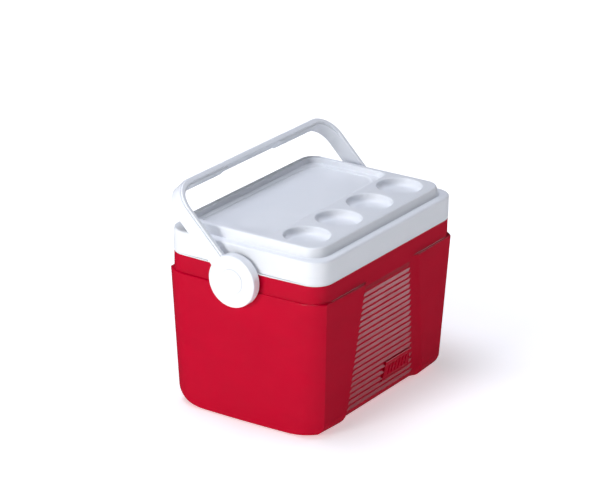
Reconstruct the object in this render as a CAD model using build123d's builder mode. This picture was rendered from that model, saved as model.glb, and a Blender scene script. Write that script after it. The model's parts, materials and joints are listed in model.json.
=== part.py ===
from build123d import *
from math import cos, radians, sin, sqrt, tan
import os

# Portable moulded ice box: a double-walled body with foam between the skins, a foam-filled
# lift-off lid with a tray and four can wells, and a carrying handle that turns on two hubs.
# Origin: centre of the base, on the surface that the box stands on. +Z is up, X runs along
# the box between the two hubs, and the ribbed panel with the plate faces -Y.

# Lid and rim
lid_length = 380.0
lid_width = 272.6
lid_corner_radius = 30.0
skin = 3.0
liner_skin = 2.0
foam_gap = 0.3
seat_gap = 0.2
press_gap = 0.1

# Outer shell, below and above the ledge
rim_height = 245.7
rim_setback = 0.4
band_height = 27.6
band_draft = 0.5
end_ledge = 3.55
side_ledge = 1.755
end_draft = 3.24
side_draft = 2.22
end_bow = 1.2
rim_bow = 2.4
corner_sweep_radius = 50.0
corner_turn = 50.0
side_flare = 3.2
side_edge_radius = 25.0
end_edge_radius = 7.0
rounding_steps = 6

# Recessed ribbed panel on both long sides
panel_top_half = 76.0
panel_bottom_half = 111.4
panel_top_depth = 5.3
panel_bottom_depth = 8.0
panel_edge_radius = 22.0
panel_slope = 2.65
rib_count = 21
first_rib_height = 22.2
last_rib_drop = 10.1
rib_depth = 3.0
rib_land = 0.39
rib_bury = 0.5

# Blank plate on the front panel
plate_low = 35.4
plate_high = 63.8
plate_left = -4.0
plate_right = 72.0

# Inner liner
cavity_end_wall = 26.0
cavity_side_wall = 26.3
cavity_corner_radius = 26.0
cavity_draft = 2.5
cavity_floor_height = 30.0
cavity_floor_radius = 14.0
flange_thickness = 1.6
flange_setback = 0.3

# Lid
skirt_gap = 0.6
skirt_height = 35.3
plateau_height = 14.9
shelf_width = 12.7
plateau_draft = 11.7
plateau_corner_radius = 25.0
skirt_edge_radius = 3.0
tray_depth = 10.0
tray_rim = 10.0
tray_setback = 46.6
tray_corner_radius = 16.0
tray_draft = 38.0
tray_skin = 2.5
can_diameter = 66.0
can_clearance = 1.5
well_depth = 12.0
well_end_setback = 45.65
well_side_setback = 48.9
well_count = 4
well_lip_radius = 2.0
plug_depth = 14.0
plug_clearance = 1.5
plug_draft = 6.0

# Handle
pivot_y = 5.3
pivot_drop = 12.7
rest_tilt = 45.0
grip_swing = 28.4
strap_width = 27.5
band_width = 22.0
strap_thickness = 6.4
band_raise = 2.5
corner_depth = 11.6
grip_half_length = 81.0
bend_radius = 42.0
hub_radius = 40.0
hub_thickness = 15.0
hub_gap = 1.45
hub_edge_radius = 2.0
cap_radius = 19.0
cap_thickness = 3.2
cap_proud = 1.2
cap_edge_radius = 0.8

# Pivot hardware, one set at each end
boss_radius = 12.0
boss_gap = 0.6
bush_radius = 9.0
bush_running_gap = 0.05
bush_length = 8.8
bush_spigot_radius = 6.5
bush_spigot_length = 7.8
screw_radius = 4.0
screw_gap = 0.1
screw_head_radius = 7.5
screw_head_height = 2.8
screw_reach = 11.0
screw_recess = 2.0
washer_radius = 13.0
washer_thickness = 1.5
washer_gap = 0.4
backing_width = 46.0
backing_height = 22.0
backing_thickness = 5.0
backing_setback = 8.2

# Foam filling plugs
fill_plug_radius = 9.0
fill_plug_length = 6.0
fill_plug_spacing = 180.0
fill_plug_setback = 0.4
fill_plug_gap = 0.1

rim_length = lid_length - 2 * rim_setback
rim_width = lid_width - 2 * rim_setback
ledge_height = rim_height - band_height
ledge_x = rim_length / 2 + end_ledge
ledge_y = rim_width / 2 + side_ledge
base_length = 2 * (ledge_x - ledge_height * tan(radians(end_draft)))
base_width = 2 * (ledge_y - ledge_height * tan(radians(side_draft)))
rib_pitch = (ledge_height - last_rib_drop - first_rib_height) / (rib_count - 1)
rib_root = rib_pitch - rib_land
cavity_length = lid_length - 2 * cavity_end_wall
cavity_width = lid_width - 2 * cavity_side_wall
flange_top = rim_height + flange_thickness
skirt_bottom = flange_top + skirt_gap
lid_seat = flange_top + seat_gap
pan_top = lid_seat + liner_skin
shelf_height = skirt_bottom + skirt_height
lid_height = shelf_height + plateau_height
plateau_run = plateau_height * tan(radians(plateau_draft))
plateau_length = lid_length - 2 * (shelf_width + plateau_run)
plateau_width = lid_width - 2 * (shelf_width + plateau_run)
well_pitch = (plateau_length - 2 * well_end_setback) / (well_count - 1)
well_row = well_side_setback - plateau_width / 2
tray_front = well_row + tray_setback
pivot_height = rim_height - pivot_drop
grip_reach = lid_width / 2 + grip_swing
hub_back = ledge_x + end_bow + hub_gap
hub_face = hub_back + hub_thickness
cap_seat = hub_face + cap_proud - cap_thickness
boss_face = hub_back - boss_gap
bush_end = boss_face + bush_length
bush_inner_end = boss_face - bush_spigot_length
web_face = bush_end - washer_gap
backing_face = boss_face - backing_setback
screw_head_face = bush_end + washer_thickness
screw_end = backing_face - screw_reach
handle_plane = Plane(
    origin=(0, pivot_y, pivot_height),
    x_dir=(1, 0, 0),
    z_dir=(0, -cos(radians(rest_tilt)), sin(radians(rest_tilt))),
)


def tuck(rise, radius):
    """How far a wall has turned in at a rise above the floor, on an edge of this radius."""
    if rise >= radius:
        return 0.0
    return radius - sqrt(radius**2 - (radius - rise) ** 2)


def panel_half(height):
    """Half the panel's width on the outer face at a height."""
    return panel_bottom_half + (panel_top_half - panel_bottom_half) * height / ledge_height


def proud_y(height):
    """Distance of the side's outer face from the middle, at the panel's edge."""
    return base_width / 2 + height * tan(radians(side_draft)) + side_flare


def panel_y(height):
    """Distance of the recessed panel's face from the middle."""
    depth = panel_bottom_depth + (panel_top_depth - panel_bottom_depth) * height / ledge_height
    return proud_y(height) - depth


def recess_half(height, reach, inset):
    """Half-width of the recess at a height and a distance from the middle, grown by a skin."""
    grown = inset * sqrt(1 + panel_slope**2)
    return panel_half(height) + (reach - proud_y(height)) * panel_slope + grown


def lower_section(height, inset):
    """Plan outline of the shell below the ledge, inset by a skin."""
    rise = height - inset
    half_x = base_length / 2 + height * tan(radians(end_draft)) - inset
    half_x -= tuck(rise, end_edge_radius - inset)
    half_y = base_width / 2 + height * tan(radians(side_draft)) - inset
    half_y -= tuck(rise, side_edge_radius - inset)
    radius = corner_sweep_radius - inset
    turn = radians(corner_turn)
    start_y = half_y - radius * sin(turn)
    middle = (half_x - radius * (1 - cos(turn / 2)), start_y + radius * sin(turn / 2))
    crease = (half_x - radius * (1 - cos(turn)), half_y)
    edge = (panel_half(height), half_y + side_flare)
    with BuildSketch(Plane.XY.offset(height)) as section:
        with BuildLine():
            ThreePointArc((half_x, -start_y), (half_x + end_bow, 0), (half_x, start_y))
            for side in (1, -1):
                ThreePointArc(
                    (half_x, side * start_y),
                    (middle[0], side * middle[1]),
                    (crease[0], side * crease[1]),
                )
                Line((crease[0], side * crease[1]), (edge[0], side * edge[1]))
            mirror(about=Plane.YZ)
            for side in (1, -1):
                Line((edge[0], side * edge[1]), (-edge[0], side * edge[1]))
        make_face()
    return section.sketch


def band_section(height, inset):
    """Plan outline of the shell above the ledge, inset by a skin."""
    fall = (rim_height - height) * tan(radians(band_draft))
    half_x = rim_length / 2 - inset - fall
    half_y = rim_width / 2 - inset - fall
    radius = lid_corner_radius - inset
    nook = radius * (1 - cos(radians(45)))
    with BuildSketch(Plane.XY.offset(height)) as section:
        with BuildLine():
            for side in (1, -1):
                Line((-half_x + radius, side * half_y), (half_x - radius, side * half_y))
                ThreePointArc(
                    (side * half_x, radius - half_y),
                    (side * (half_x + rim_bow), 0),
                    (side * half_x, half_y - radius),
                )
                for end in (1, -1):
                    ThreePointArc(
                        (end * half_x, side * (half_y - radius)),
                        (end * (half_x - nook), side * (half_y - nook)),
                        (end * (half_x - radius), side * half_y),
                    )
        make_face()
    return section.sketch


def body_block(inset, top):
    """The shell's solid outline, inset by a skin, up to a height."""
    rounded = []
    for step in range(rounding_steps + 1):
        rise = (side_edge_radius - inset) * (1 - cos(radians(90 * step / rounding_steps)))
        rounded.append(lower_section(inset + rise, inset))
    shoulder = ledge_height - inset
    with BuildPart() as block:
        loft(sections=rounded)
        loft(sections=[lower_section(side_edge_radius, inset), lower_section(shoulder, inset)], ruled=True)
        loft(sections=[band_section(shoulder, inset), band_section(top, inset)], ruled=True)
    return block.part


def panel_recess(inset):
    """The space in front of the two ribbed panels, grown by a skin."""
    deep = panel_y(0) - inset - 5
    reach = ledge_y + side_flare + 10
    low = -1.0
    high = ledge_height - inset
    with BuildPart() as recess:
        for distance in (deep, reach):
            with BuildSketch(Plane.XZ.offset(distance)):
                with BuildLine():
                    Polyline(
                        (-recess_half(high, distance, inset), high),
                        (recess_half(high, distance, inset), high),
                        (recess_half(low, distance, inset), low),
                        (-recess_half(low, distance, inset), low),
                        close=True,
                    )
                make_face()
        loft(ruled=True)
        mirror(about=Plane.XZ)
        with BuildSketch(Plane.YZ):
            with BuildLine():
                Polyline(
                    (-panel_y(0) + inset, inset),
                    (panel_y(0) - inset, inset),
                    (panel_y(ledge_height) - inset, ledge_height),
                    (-panel_y(ledge_height) + inset, ledge_height),
                    close=True,
                )
            make_face()
            fillet(vertices().group_by(Axis.Y)[0], radius=panel_edge_radius - inset)
        extrude(amount=base_length, both=True, mode=Mode.SUBTRACT)
    return recess.part


def pivot_bar(side, radius, inner, outer):
    """A round bar along X on one pivot, between two distances from the middle."""
    with BuildPart() as bar:
        with BuildSketch(Plane.YZ.offset(side * inner)):
            with Locations((pivot_y, pivot_height)):
                Circle(radius)
        extrude(amount=side * (outer - inner))
    return bar.part


def pivot_round(radius, inner, outer):
    """The same bar on both pivots."""
    with BuildPart() as bars:
        for side in (1, -1):
            add(pivot_bar(side, radius, inner, outer))
    return bars.part


def hub_block():
    """The two hub discs with a rounded outer rim."""
    with BuildPart() as discs:
        for side in (1, -1):
            add(pivot_bar(side, hub_radius, hub_back, hub_face))
        for face in (discs.faces().sort_by(Axis.X)[0], discs.faces().sort_by(Axis.X)[-1]):
            fillet(face.edges(), radius=hub_edge_radius)
    return discs.part


def cavity_block(growth):
    """The liner's cavity up to the top of its flange, grown by a skin."""
    rise = flange_top - cavity_floor_height + growth
    narrowing = 2 * rise * tan(radians(cavity_draft))
    length = cavity_length + 2 * growth
    width = cavity_width + 2 * growth
    radius = cavity_corner_radius + growth
    with BuildPart() as block:
        with BuildSketch(Plane.XY.offset(flange_top - rise)):
            RectangleRounded(length - narrowing, width - narrowing, radius)
        with BuildSketch(Plane.XY.offset(flange_top)):
            RectangleRounded(length, width, radius)
        loft(ruled=True)
        fillet(edges().group_by(Axis.Z)[0], radius=cavity_floor_radius + growth)
    return block.part


def backing_block(growth):
    """The two backing plates behind the shell's end walls, grown by a gap."""
    with BuildPart() as block:
        for side in (1, -1):
            with BuildSketch(Plane.YZ.offset(side * (backing_face + growth))):
                with Locations((pivot_y, pivot_height)):
                    Rectangle(backing_width + 2 * growth, backing_height + 2 * growth)
            extrude(amount=-side * (backing_thickness + 2 * growth))
    return block.part


def tray_block(growth):
    """The lid's tray recess, grown by a skin."""
    half_x = plateau_length / 2 - tray_rim + growth
    rear = plateau_width / 2 - tray_rim + growth
    front = tray_front - growth
    run = tray_depth * tan(radians(tray_draft))
    depth = tray_depth + growth
    radius = tray_corner_radius + growth
    with BuildPart() as block:
        for level, setback in ((lid_height - depth, run), (lid_height, 0.0)):
            with BuildSketch(Plane.XY.offset(level)):
                with Locations((0, (rear + front) / 2)):
                    RectangleRounded(2 * (half_x - setback), rear - front - 2 * setback, radius)
        loft(ruled=True)
    return block.part


def well_block(growth):
    """The row of can wells in the lid, grown by a skin."""
    with BuildPart() as block:
        with BuildSketch(Plane.XY.offset(lid_height)):
            with Locations((0, well_row)):
                with GridLocations(well_pitch, 1, well_count, 1):
                    Circle(can_diameter / 2 + can_clearance + growth)
        extrude(amount=-(well_depth + growth))
    return block.part


def lid_block(inset, low):
    """The lid's outline from a level upwards, inset by a skin, without tray and wells."""
    with BuildPart() as block:
        with BuildSketch(Plane.XY.offset(low)):
            RectangleRounded(lid_length - 2 * inset, lid_width - 2 * inset, lid_corner_radius - inset)
        extrude(amount=shelf_height - inset - low)
        rounding = skirt_edge_radius - min(inset, skirt_edge_radius - 0.5)
        fillet(edges().group_by(Axis.Z)[-1], radius=rounding)
        base_radius = plateau_corner_radius + plateau_run
        with BuildSketch(Plane.XY.offset(shelf_height - inset)):
            RectangleRounded(
                plateau_length + 2 * plateau_run - 2 * inset,
                plateau_width + 2 * plateau_run - 2 * inset,
                base_radius - inset,
            )
        with BuildSketch(Plane.XY.offset(lid_height - inset)):
            RectangleRounded(
                plateau_length - 2 * inset, plateau_width - 2 * inset, plateau_corner_radius - inset
            )
        loft(ruled=True)
    return block.part


def plug_block(inset, top):
    """The lid liner's plug from a top level down, inset by a skin."""
    depth = plug_depth - inset
    run = depth * tan(radians(plug_draft))
    length = cavity_length - 2 * (plug_clearance + inset)
    width = cavity_width - 2 * (plug_clearance + inset)
    radius = cavity_corner_radius - plug_clearance - inset
    with BuildPart() as block:
        with BuildSketch(Plane.XY.offset(lid_seat - depth)):
            RectangleRounded(length - 2 * run, width - 2 * run, radius - run)
        with BuildSketch(Plane.XY.offset(top)):
            RectangleRounded(length, width, radius)
        loft(ruled=True)
    return block.part


def strap_outline(inset):
    """The handle's hoop as a filled outline, feet on the X axis, inset from its outer face."""
    half = hub_face - inset
    reach = grip_reach - inset
    with BuildSketch() as outline:
        with Locations((0, reach / 2)):
            Rectangle(2 * half, reach)
        fillet(outline.vertices().group_by(Axis.Y)[-1], radius=bend_radius - inset)
    return outline.sketch


def write(piece, name):
    """Label one finished piece and write it to its own file."""
    piece.label = name
    export_step(piece, f"parts/{name}.step")


os.makedirs("parts", exist_ok=True)

# Hollow inside the shell's skin

with BuildPart() as shell_void:
    add(body_block(skin, rim_height + skin))
    add(panel_recess(skin), mode=Mode.SUBTRACT)

# Outer shell: skin, louvre ribs, blank plate, pivot bosses and filling holes

with BuildPart() as outer_shell:
    add(body_block(0, rim_height))
    add(panel_recess(0), mode=Mode.SUBTRACT)
    for side in (1, -1):
        for number in range(rib_count):
            crest = first_rib_height + number * rib_pitch
            low = crest - rib_root / 2
            high = crest + rib_root / 2
            with BuildSketch(Plane.YZ):
                with BuildLine():
                    Polyline(
                        (side * (panel_y(low) - rib_bury), low),
                        (side * (panel_y(crest) + rib_depth), crest),
                        (side * (panel_y(high) - rib_bury), high),
                        close=True,
                    )
                make_face()
            extrude(amount=recess_half(crest, panel_y(crest) + rib_depth, 0) + 1, both=True)
    with BuildSketch(Plane.YZ.offset(plate_left)):
        with BuildLine():
            Polyline(
                (-panel_y(plate_low) + rib_bury, plate_low),
                (-panel_y(plate_low) - rib_depth, plate_low),
                (-panel_y(plate_high) - rib_depth, plate_high),
                (-panel_y(plate_high) + rib_bury, plate_high),
                close=True,
            )
        make_face()
    extrude(amount=plate_right - plate_left)
    add(pivot_round(boss_radius, backing_face, boss_face))
    add(shell_void.part, mode=Mode.SUBTRACT)
    add(pivot_round(bush_spigot_radius, backing_face, boss_face), mode=Mode.SUBTRACT)
    with BuildSketch(Plane.XY):
        with GridLocations(fill_plug_spacing, 1, 2, 1):
            Circle(fill_plug_radius)
    extrude(amount=skin, mode=Mode.SUBTRACT)

# Foam between the shell and the liner, with pockets for the pivot hardware

with BuildPart() as shell_insulation:
    add(body_block(skin + foam_gap, rim_height - foam_gap))
    add(panel_recess(skin + foam_gap), mode=Mode.SUBTRACT)
    add(cavity_block(liner_skin + foam_gap), mode=Mode.SUBTRACT)
    add(backing_block(foam_gap), mode=Mode.SUBTRACT)
    add(pivot_round(boss_radius + foam_gap, backing_face, boss_face), mode=Mode.SUBTRACT)
    add(pivot_round(screw_radius + foam_gap, screw_end - foam_gap, backing_face), mode=Mode.SUBTRACT)
    with BuildSketch(Plane.XY):
        with GridLocations(fill_plug_spacing, 1, 2, 1):
            Circle(fill_plug_radius + foam_gap)
    extrude(amount=fill_plug_setback + fill_plug_length + foam_gap, mode=Mode.SUBTRACT)

# White inner liner with the flange that closes the rim

with BuildPart() as inner_liner:
    extrude(band_section(rim_height, flange_setback), amount=flange_thickness)
    add(cavity_block(liner_skin))
    add(cavity_block(0), mode=Mode.SUBTRACT)

# Hollow inside the lid top: the skirt and raised top less the tray's and wells' undersides

with BuildPart() as lid_void:
    add(lid_block(skin, skirt_bottom))
    add(tray_block(tray_skin), mode=Mode.SUBTRACT)
    add(well_block(tray_skin), mode=Mode.SUBTRACT)

# Lid top: skirt, shelf, raised top with the tray and the can wells

with BuildPart() as lid_top:
    add(lid_block(0, skirt_bottom))
    add(tray_block(0), mode=Mode.SUBTRACT)
    add(well_block(0), mode=Mode.SUBTRACT)
    lips = edges().filter_by(GeomType.CIRCLE).filter_by_position(Axis.Z, lid_height, lid_height)
    fillet(lips, radius=well_lip_radius)
    add(lid_void.part, mode=Mode.SUBTRACT)

# Foam inside the lid, down into the plug

with BuildPart() as lid_insulation:
    add(lid_block(skin + foam_gap, pan_top + foam_gap))
    add(tray_block(tray_skin + foam_gap), mode=Mode.SUBTRACT)
    add(well_block(tray_skin + foam_gap), mode=Mode.SUBTRACT)
    add(plug_block(liner_skin + foam_gap, pan_top + foam_gap))
    with BuildSketch(Plane.XY.offset(lid_seat - plug_depth)):
        Circle(fill_plug_radius + foam_gap)
    extrude(amount=fill_plug_setback + fill_plug_length + foam_gap, mode=Mode.SUBTRACT)

# Lid liner: the pan that closes the lid from below and plugs the cavity's mouth

with BuildPart() as lid_liner:
    with BuildSketch(Plane.XY.offset(lid_seat)):
        RectangleRounded(
            lid_length - 2 * (skin + press_gap),
            lid_width - 2 * (skin + press_gap),
            lid_corner_radius - skin - press_gap,
        )
    extrude(amount=liner_skin)
    add(plug_block(0, pan_top))
    add(plug_block(liner_skin, pan_top), mode=Mode.SUBTRACT)
    with BuildSketch(Plane.XY.offset(lid_seat - plug_depth)):
        Circle(fill_plug_radius)
    extrude(amount=liner_skin, mode=Mode.SUBTRACT)

# Handle: a hoop of flanged strap with a hub disc at each foot, tilted back at rest

with BuildPart() as handle_bail:
    with BuildSketch(handle_plane):
        add(strap_outline(band_raise))
        add(strap_outline(band_raise + strap_thickness), mode=Mode.SUBTRACT)
    extrude(amount=strap_width / 2, both=True)
    with BuildSketch(handle_plane):
        add(strap_outline(0))
        add(strap_outline(band_raise + strap_thickness), mode=Mode.SUBTRACT)
    extrude(amount=band_width / 2, both=True)
    with BuildSketch(handle_plane):
        add(strap_outline(band_raise))
        add(strap_outline(corner_depth), mode=Mode.SUBTRACT)
        with Locations((0, grip_reach)):
            Rectangle(2 * grip_half_length, 2 * bend_radius, mode=Mode.SUBTRACT)
        with Locations((0, 0)):
            Rectangle(4 * hub_face, 2 * (grip_reach - bend_radius), mode=Mode.SUBTRACT)
    extrude(amount=band_width / 2, both=True)
    add(hub_block())
    add(pivot_round(bush_radius + bush_running_gap, hub_back, hub_face), mode=Mode.SUBTRACT)
    add(pivot_round(washer_radius + washer_gap, web_face, hub_face), mode=Mode.SUBTRACT)
    add(pivot_round(cap_radius + press_gap, cap_seat, hub_face), mode=Mode.SUBTRACT)

# Pieces that close the two foam filling holes in the base and the one in the lid liner

with BuildPart() as fill_plug:
    with BuildSketch(Plane.XY):
        Circle(fill_plug_radius - fill_plug_gap)
    extrude(amount=fill_plug_length)

plug_places = {
    "base_plug_left": (-fill_plug_spacing / 2, 0, fill_plug_setback),
    "base_plug_right": (fill_plug_spacing / 2, 0, fill_plug_setback),
    "lid_plug": (0, 0, lid_seat - plug_depth + fill_plug_setback),
}
for name, place in plug_places.items():
    write(fill_plug.part.moved(Location(place)), name)

# Pivot hardware: bush, backing plate, screw, washer and cap at each end

for end, side in (("left", -1), ("right", 1)):
    with BuildPart() as pivot_bush:
        add(pivot_bar(side, bush_radius, boss_face, bush_end))
        add(pivot_bar(side, bush_spigot_radius - press_gap, bush_inner_end, boss_face))
        add(pivot_bar(side, screw_radius + screw_gap, bush_inner_end, bush_end), mode=Mode.SUBTRACT)
    write(pivot_bush.part, f"pivot_bush_{end}")

    with BuildPart() as backing_plate:
        with BuildSketch(Plane.YZ.offset(side * backing_face)):
            with Locations((pivot_y, pivot_height)):
                Rectangle(backing_width, backing_height)
                Circle(screw_radius + screw_gap, mode=Mode.SUBTRACT)
        extrude(amount=-side * backing_thickness)
    write(backing_plate.part, f"backing_plate_{end}")

    with BuildPart() as pivot_screw:
        add(pivot_bar(side, screw_radius, screw_end, screw_head_face))
        add(pivot_bar(side, screw_head_radius, screw_head_face, screw_head_face + screw_head_height))
        with BuildSketch(Plane.YZ.offset(side * (screw_head_face + screw_head_height))):
            with Locations((pivot_y, pivot_height)):
                RegularPolygon(screw_radius, 6)
        extrude(amount=-side * screw_recess, mode=Mode.SUBTRACT)
    write(pivot_screw.part, f"pivot_screw_{end}")

    with BuildPart() as pivot_washer:
        add(pivot_bar(side, washer_radius, bush_end, screw_head_face))
        add(pivot_bar(side, screw_radius + screw_gap, bush_end, screw_head_face), mode=Mode.SUBTRACT)
    write(pivot_washer.part, f"pivot_washer_{end}")

    with BuildPart() as hub_cap:
        add(pivot_bar(side, cap_radius, cap_seat, hub_face + cap_proud))
        outer_face = hub_cap.faces().sort_by(Axis.X)[-1 if side > 0 else 0]
        fillet(outer_face.edges(), radius=cap_edge_radius)
    write(hub_cap.part, f"hub_cap_{end}")

for piece, name in (
    (outer_shell, "outer_shell"),
    (shell_insulation, "shell_insulation"),
    (inner_liner, "inner_liner"),
    (lid_top, "lid_top"),
    (lid_insulation, "lid_insulation"),
    (lid_liner, "lid_liner"),
    (handle_bail, "handle_bail"),
):
    write(piece.part, name)
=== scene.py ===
"""Portable moulded ice box: ribbed red body, white lid with tray and can wells, swinging handle."""

from __future__ import annotations

import json
import logging
import math
from dataclasses import dataclass
from enum import Enum

import bmesh
import bpy
import numpy as np
from mathutils import Matrix, Vector
from mathutils.geometry import delaunay_2d_cdt


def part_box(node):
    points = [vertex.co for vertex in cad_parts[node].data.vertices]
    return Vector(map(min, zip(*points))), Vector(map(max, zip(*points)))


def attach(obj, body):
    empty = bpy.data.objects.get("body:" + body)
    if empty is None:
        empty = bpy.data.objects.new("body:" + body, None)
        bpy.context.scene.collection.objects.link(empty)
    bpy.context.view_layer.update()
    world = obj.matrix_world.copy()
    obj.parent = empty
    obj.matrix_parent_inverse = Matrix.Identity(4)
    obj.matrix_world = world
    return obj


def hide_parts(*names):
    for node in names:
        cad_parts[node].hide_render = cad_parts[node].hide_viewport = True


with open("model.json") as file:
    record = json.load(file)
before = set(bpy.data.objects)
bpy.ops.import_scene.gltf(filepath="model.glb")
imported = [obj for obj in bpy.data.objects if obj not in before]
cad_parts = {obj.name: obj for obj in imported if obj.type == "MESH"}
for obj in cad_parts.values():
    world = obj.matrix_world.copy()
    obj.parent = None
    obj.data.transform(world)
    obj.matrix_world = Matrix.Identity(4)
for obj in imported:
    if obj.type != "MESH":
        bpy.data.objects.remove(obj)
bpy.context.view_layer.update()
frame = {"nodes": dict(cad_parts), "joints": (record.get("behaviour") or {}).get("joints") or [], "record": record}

log = logging.getLogger("ice_box")

MM = 0.001
WELD = 2e-6


class End(Enum):
    """The two ends of the box that carry the hubs."""

    LEFT = -1
    RIGHT = 1


class Side(Enum):
    """The two long sides with ribbed panels."""

    FRONT = -1
    REAR = 1


def linear(code: str, alpha: float = 1.0) -> tuple[float, float, float, float]:
    """Turn an sRGB hex colour into linear light.

    Args:
        code: Six hex digits.
        alpha: Opacity.

    Returns:
        Linear red, green and blue with the opacity.
    """
    parts = [int(code[i : i + 2], 16) / 255 for i in (0, 2, 4)]
    light = [c / 12.92 if c <= 0.04045 else ((c + 0.055) / 1.055) ** 2.4 for c in parts]
    return (*light, alpha)


def add_node(tree: bpy.types.NodeTree, kind: str, settings: dict | None = None, **inputs) -> bpy.types.Node:
    """Add one node, with its settings, values and links.

    Args:
        tree: Node tree that the node joins.
        kind: Blender's type name for the node.
        settings: Properties of the node itself.
        **inputs: Socket values or links, named by socket name with spaces as underscores, or
            by position as i0, i1 and so on.

    Returns:
        The new node.
    """
    node = tree.nodes.new(kind)
    for key, value in (settings or {}).items():
        setattr(node, key, value)
    for key, value in inputs.items():
        by_place = key[0] == "i" and key[1:].isdigit()
        socket = node.inputs[int(key[1:]) if by_place else key.replace("_", " ")]
        if isinstance(value, bpy.types.NodeSocket):
            tree.links.new(value, socket)
        else:
            socket.default_value = value
    return node


def new_material(name: str) -> tuple[bpy.types.Material, bpy.types.NodeTree, bpy.types.Node]:
    """Make an empty node material with its shader and output.

    Args:
        name: Material name.

    Returns:
        The material, its node tree and its Principled shader.
    """
    material = bpy.data.materials.new(name)
    material.use_nodes = True
    tree = material.node_tree
    tree.nodes.clear()
    shader = add_node(tree, "ShaderNodeBsdfPrincipled")
    add_node(tree, "ShaderNodeOutputMaterial", Surface=shader.outputs[0])
    return material, tree, shader


@dataclass(frozen=True)
class MouldedPlastic:
    """Injection-moulded thermoplastic with a spark-eroded satin grain.

    The grain of such a tool is about 0.1 mm. It is drawn 1.1 mm coarse and very shallow, so that
    it still breaks up the gloss at a few steps' distance. Melt flow leaves faint cloudy streaks
    60 mm long, and handling polishes and scuffs the skin in soft patches of 25 mm.
    """

    name: str
    colour: str
    shade: str
    roughness: float = 0.42
    roughness_swing: float = 0.03
    ior: float = 1.49
    grain: float = 1.1
    grain_height: float = 0.008
    flow: float = 60.0
    scuff: float = 25.0
    translucency: float = 0.0
    specular: float = 0.4

    def material(self) -> bpy.types.Material:
        """Build the node material."""
        material, tree, shader = new_material(self.name)
        place = add_node(tree, "ShaderNodeTexCoord").outputs["Object"]
        stretched = add_node(tree, "ShaderNodeMapping", Vector=place, Scale=(1.0, 1.0, 2.2))
        flow = add_node(
            tree,
            "ShaderNodeTexNoise",
            Vector=stretched.outputs[0],
            Scale=1 / (self.flow * MM),
            Detail=3.0,
            Roughness=0.55,
            Distortion=0.6,
        )
        tone = add_node(tree, "ShaderNodeMapRange", Value=flow.outputs[0], i1=0.3, i2=0.7)
        colour = add_node(
            tree,
            "ShaderNodeMix",
            {"data_type": "RGBA"},
            i0=tone.outputs[0],
            i6=linear(self.shade),
            i7=linear(self.colour),
        )
        scuff = add_node(
            tree, "ShaderNodeTexNoise", Vector=place, Scale=1 / (self.scuff * MM), Detail=5.0, Roughness=0.65
        )
        rough = add_node(
            tree,
            "ShaderNodeMapRange",
            Value=scuff.outputs[0],
            i1=0.3,
            i2=0.7,
            i3=self.roughness - self.roughness_swing,
            i4=self.roughness + self.roughness_swing,
        )
        grain = add_node(
            tree, "ShaderNodeTexNoise", Vector=place, Scale=1 / (self.grain * MM), Detail=2.0, Roughness=0.6
        )
        bump = add_node(
            tree,
            "ShaderNodeBump",
            Strength=0.5,
            Distance=self.grain_height * MM,
            Height=grain.outputs[0],
        )
        tree.links.new(colour.outputs[2], shader.inputs["Base Color"])
        tree.links.new(rough.outputs[0], shader.inputs["Roughness"])
        tree.links.new(bump.outputs[0], shader.inputs["Normal"])
        shader.inputs["IOR"].default_value = self.ior
        shader.inputs["Specular IOR Level"].default_value = self.specular
        if self.translucency:
            shader.inputs["Subsurface Weight"].default_value = self.translucency
            shader.inputs["Subsurface Radius"].default_value = (1.0, 0.95, 0.9)
            shader.inputs["Subsurface Scale"].default_value = 1.5 * MM
        return material


@dataclass(frozen=True)
class PlatedSteel:
    """Zinc-plated mild steel: bright bluish metal with a faint crystalline mottle 4 mm wide."""

    name: str
    bright: str = "C9CCD1"
    dull: str = "9FA3A8"
    roughness: float = 0.33
    spangle: float = 4.0

    def material(self) -> bpy.types.Material:
        """Build the node material."""
        material, tree, shader = new_material(self.name)
        place = add_node(tree, "ShaderNodeTexCoord").outputs["Object"]
        cells = add_node(tree, "ShaderNodeTexVoronoi", Vector=place, Scale=1 / (self.spangle * MM))
        tone = add_node(tree, "ShaderNodeSeparateColor", Color=cells.outputs["Color"])
        colour = add_node(
            tree,
            "ShaderNodeMix",
            {"data_type": "RGBA"},
            i0=tone.outputs[0],
            i6=linear(self.dull),
            i7=linear(self.bright),
        )
        rough = add_node(
            tree,
            "ShaderNodeMapRange",
            Value=tone.outputs[1],
            i3=self.roughness - 0.06,
            i4=self.roughness + 0.08,
        )
        tree.links.new(colour.outputs[2], shader.inputs["Base Color"])
        tree.links.new(rough.outputs[0], shader.inputs["Roughness"])
        shader.inputs["Metallic"].default_value = 1.0
        return material


@dataclass(frozen=True)
class RigidFoam:
    """Closed-cell polyurethane foam: matt cream with 0.4 mm cells, drawn 1.5 mm wide to show."""

    name: str
    colour: str = "E8DDB4"
    pore: str = "C9B983"
    cell: float = 1.5
    roughness: float = 0.9

    def material(self) -> bpy.types.Material:
        """Build the node material."""
        material, tree, shader = new_material(self.name)
        place = add_node(tree, "ShaderNodeTexCoord").outputs["Object"]
        cells = add_node(tree, "ShaderNodeTexVoronoi", Vector=place, Scale=1 / (self.cell * MM))
        colour = add_node(
            tree,
            "ShaderNodeMix",
            {"data_type": "RGBA"},
            i0=cells.outputs["Distance"],
            i6=linear(self.colour),
            i7=linear(self.pore),
        )
        bump = add_node(
            tree, "ShaderNodeBump", Strength=0.8, Distance=0.3 * MM, Height=cells.outputs["Distance"]
        )
        tree.links.new(colour.outputs[2], shader.inputs["Base Color"])
        tree.links.new(bump.outputs[0], shader.inputs["Normal"])
        shader.inputs["Roughness"].default_value = self.roughness
        shader.inputs["IOR"].default_value = 1.5
        return material


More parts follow.
